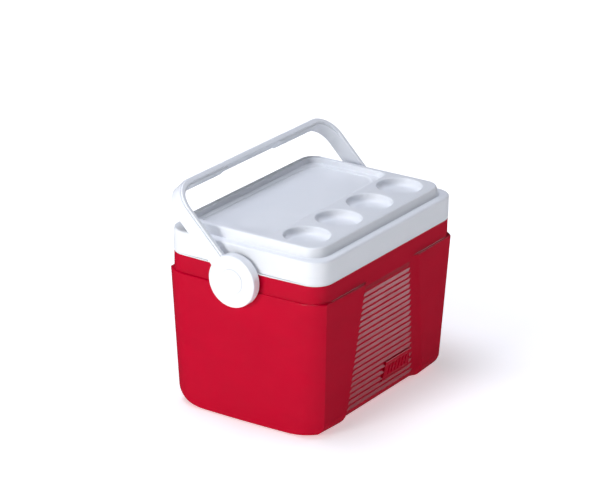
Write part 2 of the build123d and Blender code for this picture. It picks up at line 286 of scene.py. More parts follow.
@dataclass(frozen=True)
class StudioSweep:
    """Matt white floor paint with a faint 25 mm roller texture, and a painted glow: its emission rises with
    distance from the middle, so the floor near the box stays dimmer as painted shade.
    """

    name: str
    colour: str = "F6F7F9"
    roller: float = 25.0
    near: float = 0.3
    near_painted_glow: float = 0.5
    far: float = 1.0
    far_painted_glow: float = 1.0

    def material(self) -> bpy.types.Material:
        """Build the node material."""
        material, tree, shader = new_material(self.name)
        place = add_node(tree, "ShaderNodeTexCoord").outputs["Object"]
        roller = add_node(tree, "ShaderNodeTexNoise", Vector=place, Scale=1 / (self.roller * MM), Detail=3.0)
        bump = add_node(tree, "ShaderNodeBump", Strength=0.1, Distance=MM, Height=roller.outputs[0])
        tree.links.new(bump.outputs[0], shader.inputs["Normal"])
        shader.inputs["Base Color"].default_value = linear(self.colour)
        shader.inputs["Roughness"].default_value = 0.9
        # Painted glow: the floor emits light though it is no lamp. The emission strength rises with distance from
        # the middle, dimmer close to the box as painted shade and brighter farther out.
        shader.inputs["Emission Color"].default_value = linear(self.colour)
        distance = add_node(tree, "ShaderNodeVectorMath", {"operation": "LENGTH"}, i0=place)
        painted_glow = add_node(
            tree,
            "ShaderNodeMapRange",
            {"interpolation_type": "SMOOTHSTEP"},
            Value=distance.outputs["Value"],
            i1=self.near,
            i2=self.far,
            i3=self.near_painted_glow,
            i4=self.far_painted_glow,
        )
        tree.links.new(painted_glow.outputs[0], shader.inputs["Emission Strength"])
        return material


def arc(radius: float, start: float, stop: float, steps: int) -> list[tuple[float, float]]:
    """Points on a circular arc about the origin.

    Args:
        radius: Arc radius.
        start: First angle in degrees.
        stop: Last angle in degrees.
        steps: Number of segments.

    Returns:
        Steps plus one pairs of cosine and sine times the radius.
    """
    angles = np.radians(np.linspace(start, stop, steps + 1))
    return [(radius * math.cos(a), radius * math.sin(a)) for a in angles]


def rounded_ring(
    left: float, right: float, low: float, high: float, radius: float, height: float, steps: int = 12
) -> np.ndarray:
    """A rounded rectangle at one height, walked anticlockwise from its right-hand side.

    Args:
        left: Lowest x.
        right: Highest x.
        low: Lowest y.
        high: Highest y.
        radius: Corner radius.
        height: z of the ring.
        steps: Segments in each corner.

    Returns:
        Points as rows of x, y, z.
    """
    corners = (
        (right - radius, high - radius, 0),
        (left + radius, high - radius, 90),
        (left + radius, low + radius, 180),
        (right - radius, low + radius, 270),
    )
    points = []
    for x, y, start in corners:
        points += [(x + c, y + s, height) for c, s in arc(radius, start, start + 90, steps)]
    return np.array(points)


def circle_ring(x: float, y: float, radius: float, height: float, count: int) -> np.ndarray:
    """A circle at one height, as rows of x, y, z."""
    return np.array([(x + c, y + s, height) for c, s in arc(radius, 0, 360, count)[:-1]])


def inside(points: np.ndarray, outline: np.ndarray) -> np.ndarray:
    """Which points lie within a closed outline.

    Args:
        points: Rows of x, y.
        outline: Rows of x, y along the outline.

    Returns:
        True for each point inside.
    """
    found = np.zeros(len(points), bool)
    for (x0, y0), (x1, y1) in zip(outline, np.roll(outline, -1, axis=0)):
        crosses = (y0 > points[:, 1]) != (y1 > points[:, 1])
        reach = (x1 - x0) * (points[:, 1] - y0) / ((y1 - y0) or 1e-12) + x0
        found ^= crosses & (points[:, 0] < reach)
    return found


class Surface:
    """Points and faces in millimetres that grow into one mesh."""

    def __init__(self) -> None:
        """Start with nothing."""
        self.points: list[tuple[float, float, float]] = []
        self.faces: list[tuple[int, ...]] = []

    def loft(self, rings: list[np.ndarray], closed: bool = False) -> None:
        """Join rings of equal length by quads.

        Args:
            rings: Rings in order.
            closed: Whether the last ring joins the first.
        """
        start = len(self.points)
        count = len(rings[0])
        for ring in rings:
            self.points += [tuple(p) for p in ring]
        rows = len(rings)
        for row in range(rows if closed else rows - 1):
            a = start + row * count
            b = start + ((row + 1) % rows) * count
            for col in range(count):
                nxt = (col + 1) % count
                self.faces.append((a + col, a + nxt, b + nxt, b + col))

    def sheet(self, outline: np.ndarray, holes: tuple[np.ndarray, ...] = ()) -> None:
        """Fill a flat outline, less its holes, with triangles.

        Args:
            outline: Ring of points at one height.
            holes: Rings within it at the same height.
        """
        height = float(outline[0][2])
        flat, edges = [], []
        for ring in (outline, *holes):
            base = len(flat)
            flat += [Vector((float(p[0]), float(p[1]))) for p in ring]
            edges += [(base + i, base + (i + 1) % len(ring)) for i in range(len(ring))]
        corners, _, triangles, *_ = delaunay_2d_cdt(flat, edges, [], 0, 1e-6)
        xy = np.array([tuple(v) for v in corners])
        middles = np.array([xy[list(t)].mean(axis=0) for t in triangles])
        keep = inside(middles, outline[:, :2])
        for hole in holes:
            keep &= ~inside(middles, hole[:, :2])
        start = len(self.points)
        self.points += [(x, y, height) for x, y in xy]
        self.faces += [tuple(start + i for i in t) for t, k in zip(triangles, keep) if k]

    def spin(self, profile: list[tuple[float, float]], centre: tuple[float, float], count: int) -> None:
        """Turn a closed profile about an axis along X.

        Args:
            profile: Pairs of radius and x. Points of radius zero close the shape on the axis.
            centre: y and z of the axis.
            count: Segments round the axis.
        """
        turns = np.radians(np.linspace(0, 360, count, endpoint=False))
        rings = [
            np.array([(x, centre[0] + r * math.cos(t), centre[1] + r * math.sin(t)) for t in turns])
            for r, x in profile
        ]
        self.loft(rings, closed=profile[0][0] > 0)

    def mesh(self, name: str) -> bpy.types.Mesh:
        """Make the mesh in metres, merged, with its faces outwards.

        Args:
            name: Mesh name.

        Returns:
            The new mesh.
        """
        data = bpy.data.meshes.new(name)
        data.from_pydata([tuple(c * MM for c in p) for p in self.points], [], self.faces)
        work = bmesh.new()
        work.from_mesh(data)
        bmesh.ops.remove_doubles(work, verts=work.verts, dist=WELD)
        bmesh.ops.dissolve_degenerate(work, edges=work.edges, dist=WELD / 2)
        bmesh.ops.recalc_face_normals(work, faces=work.faces)
        work.to_mesh(data)
        work.free()
        return data


def finish_piece(obj: bpy.types.Object, body: str, crease: float = 32.0) -> bpy.types.Object:
    """Shade a piece, weight its normals and let it ride on its body.

    Args:
        obj: The finished piece.
        body: CAD body that it moves with.
        crease: Angle in degrees from which an edge stays sharp.

    Returns:
        The same object.
    """
    obj.data.shade_smooth()
    obj.data.set_sharp_from_angle(angle=math.radians(crease))
    weigh = obj.modifiers.new("weighted_normals", "WEIGHTED_NORMAL")
    weigh.keep_sharp = True
    weigh.weight = 100
    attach(obj, body)
    log.info("%s: %d faces on %s", obj.name, len(obj.data.polygons), body)
    return obj


def link(name: str, mesh: bpy.types.Mesh, material: bpy.types.Material) -> bpy.types.Object:
    """Put a mesh in the scene as an object of one material."""
    mesh.materials.clear()
    mesh.materials.append(material)
    obj = bpy.data.objects.new(name, mesh)
    bpy.context.scene.collection.objects.link(obj)
    return obj


def plain_mesh(obj: bpy.types.Object, name: str) -> bpy.types.Mesh:
    """Evaluate an object's modifiers into a plain mesh and remove the object.

    Args:
        obj: Object with modifiers.
        name: Name of the new mesh.

    Returns:
        The evaluated mesh with outward faces.
    """
    graph = bpy.context.evaluated_depsgraph_get()
    mesh = bpy.data.meshes.new_from_object(obj.evaluated_get(graph))
    mesh.name = name
    obj.modifiers.clear()
    bpy.data.objects.remove(obj)
    work = bmesh.new()
    work.from_mesh(mesh)
    bmesh.ops.remove_doubles(work, verts=work.verts, dist=WELD)
    bmesh.ops.recalc_face_normals(work, faces=work.faces)
    work.to_mesh(mesh)
    work.free()
    return mesh


def combine(
    name: str, first: bpy.types.Mesh, others: list[bpy.types.Mesh], operation: str
) -> bpy.types.Mesh:
    """Union, cut or intersect closed meshes.

    Args:
        name: Name of the result.
        first: The mesh to start from.
        others: Meshes that act on it in turn.
        operation: UNION, DIFFERENCE or INTERSECT.

    Returns:
        The resulting mesh.
    """
    obj = bpy.data.objects.new(name, first)
    bpy.context.scene.collection.objects.link(obj)
    helpers = []
    for mesh in others:
        helper = bpy.data.objects.new(mesh.name, mesh)
        bpy.context.scene.collection.objects.link(helper)
        step = obj.modifiers.new(mesh.name, "BOOLEAN")
        step.operation = operation
        step.solver = "EXACT"
        step.object = helper
        helpers.append(helper)
    result = plain_mesh(obj, name)
    for helper in helpers:
        bpy.data.objects.remove(helper)
    return result


def node_copy(node: str) -> bpy.types.Mesh:
    """A merged copy of a CAD node's mesh."""
    mesh = frame["nodes"][node].data.copy()
    work = bmesh.new()
    work.from_mesh(mesh)
    bmesh.ops.remove_doubles(work, verts=work.verts, dist=WELD)
    work.to_mesh(mesh)
    work.free()
    return mesh


class NodeRecipe:
    """A Geometry Nodes tree with named inputs, run once into a plain mesh."""

    def __init__(self, name: str, inputs: dict[str, str]) -> None:
        """Open a tree.

        Args:
            name: Tree name.
            inputs: Input names with their socket types.
        """
        self.tree = bpy.data.node_groups.new(name, "GeometryNodeTree")
        for key, kind in inputs.items():
            self.tree.interface.new_socket(key, in_out="INPUT", socket_type=kind)
        self.tree.interface.new_socket("Geometry", in_out="OUTPUT", socket_type="NodeSocketGeometry")
        self.entry = self.tree.nodes.new("NodeGroupInput")
        self.exit = self.tree.nodes.new("NodeGroupOutput")

    def value(self, name: str) -> bpy.types.NodeSocket:
        """The output of the group input of that name."""
        return self.entry.outputs[name]

    def sum(self, a, b, operation: str = "ADD") -> bpy.types.NodeSocket:
        """A calculation on two values or sockets."""
        return add_node(self.tree, "ShaderNodeMath", {"operation": operation}, i0=a, i1=b).outputs[0]

    def close(self, geometry: bpy.types.NodeSocket) -> None:
        """End the tree in Realize Instances and Set Material."""
        real = add_node(self.tree, "GeometryNodeRealizeInstances", Geometry=geometry)
        dressed = add_node(
            self.tree, "GeometryNodeSetMaterial", Geometry=real.outputs[0], Material=self.value("Material")
        )
        self.tree.links.new(dressed.outputs[0], self.exit.inputs[0])

    def run(self, name: str, values: dict) -> bpy.types.Mesh:
        """Evaluate the tree with these values.

        Args:
            name: Name of the mesh.
            values: Input values by name.

        Returns:
            The plain mesh.
        """
        obj = bpy.data.objects.new(name, bpy.data.meshes.new(name))
        bpy.context.scene.collection.objects.link(obj)
        modifier = obj.modifiers.new("recipe", "NODES")
        modifier.node_group = self.tree
        sockets = {s.name: s.identifier for s in self.tree.interface.items_tree if s.in_out == "INPUT"}
        for key, value in values.items():
            modifier[sockets[key]] = value
        bpy.context.view_layer.update()
        return plain_mesh(obj, name)


def rib_recipe() -> NodeRecipe:
    """Tree for a stack of louvre ribs on a leaning panel.

    Each rib has a long sloping upper face and a short lower one, and runs to a point at one end.
    """
    number = "NodeSocketFloat"
    recipe = NodeRecipe(
        "louvre_ribs",
        {
            "Count": "NodeSocketInt",
            "Pitch": number,
            "First Height": number,
            "Root": number,
            "Land": number,
            "Crest Rise": number,
            "Depth": number,
            "Bury": number,
            "Foot Distance": number,
            "Lean": number,
            "Foot Half Length": number,
            "Taper": number,
            "Foot Shift": number,
            "Shift Taper": number,
            "Point": number,
            "Tip Width": number,
            "Tip Rise": number,
            "Top Stretch": number,
            "Side": number,
            "Material": "NodeSocketMaterial",
        },
    )
    tree, value, work = recipe.tree, recipe.value, recipe.sum
    step = add_node(tree, "ShaderNodeCombineXYZ", Z=value("Pitch"))
    first = add_node(tree, "ShaderNodeCombineXYZ", Z=value("First Height"))
    line = add_node(
        tree,
        "GeometryNodeMeshLine",
        {"mode": "OFFSET"},
        Count=value("Count"),
        Start_Location=first.outputs[0],
        Offset=step.outputs[0],
    )
    height = add_node(
        tree, "ShaderNodeSeparateXYZ", Vector=add_node(tree, "GeometryNodeInputPosition").outputs[0]
    ).outputs[2]
    distance = work(value("Foot Distance"), work(value("Lean"), height, "MULTIPLY"))
    shift = work(value("Foot Shift"), work(value("Shift Taper"), height, "MULTIPLY"))
    on_panel = add_node(
        tree,
        "ShaderNodeCombineXYZ",
        X=work(shift, value("Side"), "MULTIPLY"),
        Y=work(distance, value("Side"), "MULTIPLY"),
        Z=height,
    )
    placed = add_node(
        tree, "GeometryNodeSetPosition", Geometry=line.outputs[0], Position=on_panel.outputs[0]
    )
    half = work(value("Foot Half Length"), work(value("Taper"), height, "MULTIPLY"), "SUBTRACT")
    last = work(
        add_node(tree, "GeometryNodeInputIndex").outputs[0],
        work(value("Count"), 1.5, "SUBTRACT"),
        "GREATER_THAN",
    )
    stretch = work(1.0, work(last, work(value("Top Stretch"), 1.0, "SUBTRACT"), "MULTIPLY"))
    scale = add_node(tree, "ShaderNodeCombineXYZ", X=half, Y=1.0, Z=stretch)
    blank = add_node(tree, "GeometryNodeMeshCube", Size=(2.0, 2.0, 2.0), Vertices_X=4)
    parts = add_node(
        tree, "ShaderNodeSeparateXYZ", Vector=add_node(tree, "GeometryNodeInputPosition").outputs[0]
    )
    tip = work(parts.outputs[0], 0.9, "GREATER_THAN")
    full = work(1.0, tip, "SUBTRACT")
    inner = work(work(parts.outputs[0], 0.0, "ABSOLUTE"), 0.5, "LESS_THAN")
    spread = work(work(2.0, work(value("Point"), 3.0, "MULTIPLY"), "SUBTRACT"), inner, "MULTIPLY")
    along = work(work(parts.outputs[0], work(1.0, spread), "MULTIPLY"), value("Side"), "MULTIPLY")
    outer = work(work(parts.outputs[1], 0.0, "GREATER_THAN"), full, "MULTIPLY")
    reach = work(work(outer, work(value("Depth"), value("Bury")), "MULTIPLY"), value("Bury"), "SUBTRACT")
    spare = work(outer, work(value("Root"), value("Land"), "SUBTRACT"), "MULTIPLY")
    width = work(work(value("Root"), spare, "SUBTRACT"), 0.5, "MULTIPLY")
    body_share = work(full, work(1.0, value("Tip Width"), "SUBTRACT"), "MULTIPLY")
    thickness = work(width, work(value("Tip Width"), body_share), "MULTIPLY")
    tip_rise = work(tip, work(value("Root"), value("Tip Rise"), "MULTIPLY"), "MULTIPLY")
    crest_rise = work(outer, value("Crest Rise"), "MULTIPLY")
    shaped = add_node(
        tree,
        "ShaderNodeCombineXYZ",
        X=work(along, -1.0, "MULTIPLY"),
        Y=work(reach, value("Side"), "MULTIPLY"),
        Z=work(work(parts.outputs[2], thickness, "MULTIPLY"), work(tip_rise, crest_rise)),
    )
    rib = add_node(tree, "GeometryNodeSetPosition", Geometry=blank.outputs[0], Position=shaped.outputs[0])
    stack = add_node(
        tree,
        "GeometryNodeInstanceOnPoints",
        Points=placed.outputs[0],
        Instance=rib.outputs[0],
        Scale=scale.outputs[0],
    )
    recipe.close(stack.outputs[0])
    return recipe


def bar_recipe() -> NodeRecipe:
    """Tree for a row of raised slanted bars on a leaning plate."""
    number = "NodeSocketFloat"
    recipe = NodeRecipe(
        "plate_bars",
        {
            "Count": "NodeSocketInt",
            "Spacing": number,
            "First Place": number,
            "Bar Width": number,
            "Bar Height": number,
            "Bar Depth": number,
            "Side Taper": number,
            "End Taper": number,
            "Slant": number,
            "Lean": number,
            "Distance": number,
            "Height": number,
            "Material": "NodeSocketMaterial",
        },
    )
    tree, value, work = recipe.tree, recipe.value, recipe.sum
    step = add_node(tree, "ShaderNodeCombineXYZ", X=value("Spacing"))
    first = add_node(
        tree, "ShaderNodeCombineXYZ", X=value("First Place"), Y=value("Distance"), Z=value("Height")
    )
    line = add_node(
        tree,
        "GeometryNodeMeshLine",
        {"mode": "OFFSET"},
        Count=value("Count"),
        Start_Location=first.outputs[0],
        Offset=step.outputs[0],
    )
    size = add_node(
        tree, "ShaderNodeCombineXYZ", X=value("Bar Width"), Y=value("Bar Depth"), Z=value("Bar Height")
    )
    blank = add_node(tree, "GeometryNodeMeshCube", Size=size.outputs[0])
    parts = add_node(
        tree, "ShaderNodeSeparateXYZ", Vector=add_node(tree, "GeometryNodeInputPosition").outputs[0]
    )
    outer = work(parts.outputs[1], 0.0, "LESS_THAN")
    narrow = work(1.0, work(outer, value("Side Taper"), "MULTIPLY"), "SUBTRACT")
    short = work(1.0, work(outer, value("End Taper"), "MULTIPLY"), "SUBTRACT")
    slant = work(parts.outputs[2], value("Slant"), "MULTIPLY")
    across = work(work(parts.outputs[0], narrow, "MULTIPLY"), slant)
    away = work(parts.outputs[1], work(parts.outputs[2], value("Lean"), "MULTIPLY"))
    shaped = add_node(
        tree,
        "ShaderNodeCombineXYZ",
        X=across,
        Y=away,
        Z=work(parts.outputs[2], short, "MULTIPLY"),
    )
    bar = add_node(tree, "GeometryNodeSetPosition", Geometry=blank.outputs[0], Position=shaped.outputs[0])
    row = add_node(tree, "GeometryNodeInstanceOnPoints", Points=line.outputs[0], Instance=bar.outputs[0])
    recipe.close(row.outputs[0])
    return recipe


@dataclass
class OuterShell:
    """Red outer shell: drafted walls, ledge, band and a recessed ribbed panel on each long side."""

    finish: bpy.types.Material
    rim_height: float
    rim_half_x: float = 189.6
    rim_half_y: float = 135.9
    band_height: float = 27.6
    band_draft: float = 0.5
    rim_bow: float = 2.4
    rim_corner: float = 30.0
    end_ledge: float = 3.55
    side_ledge: float = 1.755
    end_draft: float = 3.24
    side_draft: float = 2.22
    end_bow: float = 1.2
    sweep_radius: float = 50.0
    sweep_turn: float = 50.0
    flare: float = 3.2
    side_edge: float = 25.0
    end_edge: float = 7.0
    panel_edge: float = 22.0
    panel_top_half: float = 76.0
    panel_bottom_half: float = 111.4
    panel_bottom_depth: float = 8.0
    panel_slope: float = 2.65
    hollow: float = 1.9
    ledge_edge: float = 1.7
    ledge_nook: float = 1.2
    rim_edge: float = 1.0
    skin: float = 3.0
    foam_gap: float = 0.3
    rib_count: int = 21
    first_rib: float = 22.2
    last_rib_drop: float = 10.1
    rib_depth: float = 3.0
    rib_land: float = 0.5
    rib_crest_rise: float = -1.3
    rib_gap: float = 3.0
    rib_end_low: float = 13.0
    rib_end_high: float = 16.0
    rib_root_end: float = 3.4
    rib_point: float = 0.16
    rib_tip_width: float = 0.1
    rib_tip_rise: float = 0.3
    rib_bury: float = 0.5
    rib_top_stretch: float = 1.25
    boss_radius: float = 12.0
    boss_bore: float = 6.5
    boss_back: float = 187.0
    boss_face: float = 195.2
    plug_radius: float = 9.0
    plug_spacing: float = 180.0
    plate_low: float = 35.4
    plate_high: float = 63.8
    plate_left: float = -4.0
    plate_right: float = 72.0
    plate_slant: float = 0.34
    bar_count: int = 6
    bar_spacing: float = 9.6
    first_bar: float = 16.0
    bar_width: float = 4.2
    bar_height: float = 15.0
    bar_depth: float = 1.6
    bar_side_taper: float = 0.22
    bar_end_taper: float = 0.06

    @property
    def ledge(self) -> float:
        """Height of the ledge."""
        return self.rim_height - self.band_height

    def tuck(self, rise: float, radius: float) -> float:
        """How far a wall has turned in at a rise above the floor."""
        if rise >= radius:
            return 0.0
        return radius - math.sqrt(max(radius**2 - (radius - rise) ** 2, 0.0))

    def half_x(self, height: float) -> float:
        """Half length of the body at a height, less its bottom edge."""
        draft = (height - self.ledge) * math.tan(math.radians(self.end_draft))
        return self.rim_half_x + self.end_ledge + draft

    def half_y(self, height: float) -> float:
        """Half width of the body at a height, less its bottom edge."""
        draft = (height - self.ledge) * math.tan(math.radians(self.side_draft))
        return self.rim_half_y + self.side_ledge + draft

    def panel_half(self, height: float) -> float:
        """Half width of the panel at a height."""
        narrowing = self.panel_bottom_half - self.panel_top_half
        return self.panel_bottom_half - narrowing * height / self.ledge

    def band_half_y(self, height: float) -> float:
        """Half width of the band at a height."""
        return self.rim_half_y - (self.rim_height - height) * math.tan(math.radians(self.band_draft))

    def panel_y(self, height: float) -> float:
        """Distance of the panel's face from the middle at a height, less its bottom edge."""
        top_depth = self.half_y(self.ledge) + self.flare - self.band_half_y(self.ledge)
        depth = self.panel_bottom_depth + (top_depth - self.panel_bottom_depth) * height / self.ledge
        return self.half_y(height) + self.flare - depth

    @property
    def panel_lean(self) -> float:
        """How far the panel's face moves out for each unit of height."""
        return (self.panel_y(self.ledge) - self.panel_y(0)) / self.ledge

    def quadrant(self, height: float, inset: float = 0.0) -> tuple[np.ndarray, np.ndarray]:
        """One quarter of the body's plan at a height, from the end's middle to the panel's middle.

        Args:
            height: Height above the floor.
            inset: Skin thickness taken off.

        Returns:
            Rows of x and y, and for each how proud it stands of the panel, from 0 to 1.
        """
        rise = max(height - inset, 0.0)
        end = self.half_x(height) - inset - self.tuck(rise, self.end_edge)
        side = self.half_y(height) - inset - self.tuck(rise, self.side_edge)
        floor = self.panel_y(height) - inset - self.tuck(rise, self.panel_edge)
        radius = self.sweep_radius - inset
        turn = math.radians(self.sweep_turn)
        start = side - radius * math.sin(turn)
        points, proud = [], []
        for t in np.linspace(0, 1, 9)[:-1]:
            points.append((end + self.end_bow * (1 - t * t), start * t))
            proud.append(1.0)
        for a in np.linspace(0, turn, 13)[:-1]:
            points.append((end - radius * (1 - math.cos(a)), start + radius * math.sin(a)))
            proud.append(1.0)
        crease = end - radius * (1 - math.cos(turn))
        edge = self.panel_half(height)
        for t in (0.0, 0.015, 0.05, 0.09, 0.13, 0.17, 0.3, 0.5, 0.75):
            points.append((crease + (edge - crease) * t, side + self.flare * t))
            proud.append(1.0)
        lip = side + self.flare
        depth = lip - floor
        run = self.panel_slope * depth
        for t in (0.0, 0.02, 0.06, 0.12, 0.2, 0.3, 0.42, 0.56, 0.72, 0.86):
            fall = 1 - (1 - t) ** self.hollow
            points.append((edge - run * t, lip - depth * fall))
            proud.append(1 - fall)
        for t in (0.0, 0.1, 0.3, 0.6, 1.0):
            points.append(((edge - run) * (1 - t), floor))
            proud.append(0.0)
        return np.array(points), np.array(proud)

    def band_quadrant(self, plan: np.ndarray, height: float, grow: float) -> np.ndarray:
        """The band's plan below or above each point of a body plan.

        Args:
            plan: Rows of x and y of the body.
            height: Height above the floor.
            grow: How far outside the band's face the points stand.

        Returns:
            Rows of x and y.
        """
        fall = (self.rim_height - height) * math.tan(math.radians(self.band_draft))
        core = (self.rim_half_x - self.rim_corner, self.rim_half_y - self.rim_corner)
        radius = self.rim_corner - fall + grow
        points = []
        for x, y in plan:
            base = (min(x, core[0]), min(y, core[1]))
            away = Vector((x - base[0], y - base[1]))
            away.normalize()
            bow = self.rim_bow * (1 - min(y / core[1], 1.0) ** 2)
            points.append((base[0] + away.x * radius + bow, base[1] + away.y * radius))
        return np.array(points)

    def whole(self, quarter: np.ndarray, height: float) -> np.ndarray:
        """Mirror a quarter plan into a full ring at a height."""
        x, y = quarter[:, 0], quarter[:, 1]
        loop = np.concatenate(
            [
                np.column_stack([x, y]),
                np.column_stack([-x, y])[-2::-1],
                np.column_stack([-x, -y])[1:],
                np.column_stack([x, -y])[-2:0:-1],
            ]
        )
        return np.column_stack([loop, np.full(len(loop), height)])

    def outside(self) -> list[np.ndarray]:
        """Rings of the outer face, from the floor to the rim."""
        rings = []
        for rise in (0.0, 0.12, 0.5, 1.1, 2.0, 3.2, 4.9, 7.0, 9.5, 12.3, 15.5, 19.0, 22.0, 25.0):
            rings.append(self.whole(self.quadrant(rise)[0], rise))
        for height in (45.0, 80.0, 115.0, 150.0, 185.0, self.ledge - 6.0):
            rings.append(self.whole(self.quadrant(height)[0], height))
        top, proud = self.quadrant(self.ledge)
        shelf = self.band_quadrant(top, self.ledge, 0.0)
        inward = shelf - top
        length = np.maximum(np.linalg.norm(inward, axis=1), 1e-6)[:, None]
        roll = np.minimum(self.ledge_edge, length[:, 0] * 0.6)[:, None] * proud[:, None]
        for angle in (0, 20, 40, 60, 78, 90):
            a = math.radians(angle)
            height = self.ledge - self.ledge_edge * (1 - math.sin(a))
            plan = self.quadrant(height)[0] + inward / length * roll * (1 - math.cos(a))
            rings.append(self.whole(plan, height))
        for angle in (0, 30, 60, 90):
            a = math.radians(angle)
            lift = self.ledge_nook * (1 - math.cos(a))
            near = self.band_quadrant(top, self.ledge + lift, 0.0)
            reach = np.minimum(self.ledge_nook, length[:, 0] * 0.35)[:, None] * proud[:, None]
            plan = near - inward / length * reach * (1 - math.sin(a))
            rings.append(self.whole(plan, self.ledge + lift))
        for height in (self.ledge + 10.0, self.ledge + 20.0, self.rim_height - self.rim_edge):
            rings.append(self.whole(self.band_quadrant(top, height, 0.0), height))
        for angle in (30, 60, 90):
            a = math.radians(angle)
            height = self.rim_height - self.rim_edge * (1 - math.sin(a))
            plan = self.band_quadrant(top, height, -self.rim_edge * (1 - math.cos(a)))
            rings.append(self.whole(plan, height))
        return rings

    def within(self, skin: float, turn: float) -> list[np.ndarray]:
        """Rings of a face at one depth inside the shell, from the rim down.

        Args:
            skin: Distance kept from the outer face.
            turn: Height of the last ring above the lowest, where the wall turns in.

        Returns:
            Rings in order.
        """
        top, _ = self.quadrant(self.ledge)
        rings = [
            self.whole(self.band_quadrant(top, height, -skin), height)
            for height in (self.rim_height, self.ledge + 1.0)
        ]
        for height in (self.ledge - skin, 150.0, 90.0, 45.0, 25.0, 15.0, 9.0, 6.0, turn, skin):
            rings.append(self.whole(self.quadrant(height, skin)[0], height))
        return rings

    def walls(self) -> bpy.types.Mesh:
        """The closed double face of the shell with its two filling holes."""
        shell = Surface()
        outer, inner = self.outside(), self.within(self.skin, 4.2)
        shell.loft(outer + inner)
        holes = [
            [circle_ring(x, 0, self.plug_radius, h, 40) for h in (0.0, self.skin)]
            for x in (-self.plug_spacing / 2, self.plug_spacing / 2)
        ]
        shell.sheet(outer[0], tuple(h[0] for h in holes))
        shell.sheet(inner[-1], tuple(h[1] for h in holes))
        for hole in holes:
            shell.loft(hole)
        return shell.mesh("shell_walls")

    def foam(self, material: bpy.types.Material) -> bpy.types.Object:
        """Make the foam behind the shell, trimmed to stay clear of its inner face."""
        rings = self.within(self.skin + self.foam_gap, 4.4)
        room = Surface()
        room.loft(rings)
        room.sheet(rings[0])
        room.sheet(rings[-1])
        mesh = combine("BodyFoam", node_copy("shell_insulation"), [room.mesh("foam_room")], "INTERSECT")
        obj = link("BodyFoam", mesh, material)
        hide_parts("shell_insulation")
        return finish_piece(obj, "chest", crease=30.0)

    def bosses(self, pivot: tuple[float, float]) -> bpy.types.Mesh:
        """The two round pads behind the hubs, each with the bore for its bush."""
        pads = Surface()
        for end in End:
            s = end.value
            pads.spin(
                [
                    (self.boss_bore, s * self.boss_back),
                    (self.boss_radius, s * self.boss_back),
                    (self.boss_radius, s * (self.boss_face - 0.5)),
                    (self.boss_radius - 0.5, s * self.boss_face),
                    (self.boss_bore, s * self.boss_face),
                ],
                pivot,
                48,
            )
        return pads.mesh("bosses")

    def ribs(self, recipe: NodeRecipe, side: Side) -> bpy.types.Mesh:
        """The louvre ribs of one panel."""
        pitch = (self.ledge - self.last_rib_drop - self.first_rib) / (self.rib_count - 1)
        foot = self.panel_bottom_half - (self.rib_end_low + self.rib_root_end) / 2
        head = self.panel_top_half - (self.rib_end_high + self.rib_root_end) / 2
        return recipe.run(
            f"ribs_{side.name.lower()}",
            {
                "Count": self.rib_count,
                "Pitch": pitch * MM,
                "First Height": self.first_rib * MM,
                "Root": (pitch - self.rib_gap) * MM,
                "Land": self.rib_land * MM,
                "Crest Rise": self.rib_crest_rise * MM,
                "Depth": self.rib_depth * MM,
                "Bury": self.rib_bury * MM,
                "Foot Distance": self.panel_y(0) * MM,
                "Lean": self.panel_lean,
                "Foot Half Length": foot * MM,
                "Taper": (foot - head) / self.ledge,
                "Foot Shift": (self.rib_end_low - self.rib_root_end) / 2 * MM,
                "Shift Taper": (self.rib_end_high - self.rib_end_low) / 2 / self.ledge,
                "Point": self.rib_point,
                "Tip Width": self.rib_tip_width,
                "Tip Rise": self.rib_tip_rise,
                "Top Stretch": self.rib_top_stretch,
                "Side": float(side.value),
                "Material": self.finish,
            },
        )

    def plate(self) -> bpy.types.Mesh:
        """The blank plate with a slanted left edge and a raised border, on the front panel."""
        slab = Surface()

        def ring(inset: float, lift: float) -> np.ndarray:
            """The plate's outline, inset and lifted off the panel."""
            low, high = self.plate_low + inset, self.plate_high - inset
            lean = self.plate_slant * (high - low)
            corners = (
                (self.plate_left + inset, low),
                (self.plate_right - inset, low),
                (self.plate_right - inset + 0.3 * lean, high),
                (self.plate_left + inset + lean, high),
            )
            return np.array([(x, -self.panel_y(z) - lift, z) for x, z in corners])

        top = self.rib_depth + 0.5
        rings = [ring(0, -0.5), ring(0, top - 0.5), ring(0.5, top), ring(2.2, top), ring(2.7, top - 0.7)]
        slab.loft(rings)
        base = len(slab.points)
        slab.points += [tuple(p) for p in rings[0]] + [tuple(p) for p in rings[-1]]
        slab.faces += [(base, base + 1, base + 2, base + 3), (base + 4, base + 5, base + 6, base + 7)]
        return slab.mesh("plate")

    def plate_bars(self, recipe: NodeRecipe) -> bpy.types.Mesh:
        """A plain row of slanted bars that stand in the plate's frame."""
        middle = (self.plate_low + self.plate_high) / 2
        return recipe.run(
            "plate_bars",
            {
                "Count": self.bar_count,
                "Spacing": self.bar_spacing * MM,
                "First Place": self.first_bar * MM,
                "Bar Width": self.bar_width * MM,
                "Bar Height": self.bar_height * MM,
                "Bar Depth": self.bar_depth * MM,
                "Side Taper": self.bar_side_taper,
                "End Taper": self.bar_end_taper,
                "Slant": self.plate_slant,
                "Lean": -self.panel_lean,
                "Distance": -(self.panel_y(middle) + self.rib_depth) * MM,
                "Height": middle * MM,
                "Material": self.finish,
            },
        )

    def build(self, pivot: tuple[float, float]) -> bpy.types.Object:
        """Make the shell with all that is moulded on it, as one piece.

        Args:
            pivot: y and z of the handle's axis.

        Returns:
            The finished piece.
        """
        ribs, bars = rib_recipe(), bar_recipe()
        meshes = [
            self.walls(),
            self.bosses(pivot),
            *(self.ribs(ribs, side) for side in Side),
            self.plate(),
            self.plate_bars(bars),
        ]
        work = bmesh.new()
        for mesh in meshes:
            work.from_mesh(mesh)
        joined = bpy.data.meshes.new("BodySkin")
        work.to_mesh(joined)
        work.free()
        obj = link("BodySkin", joined, self.finish)
        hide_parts("outer_shell")
        return finish_piece(obj, "chest", crease=24.0)


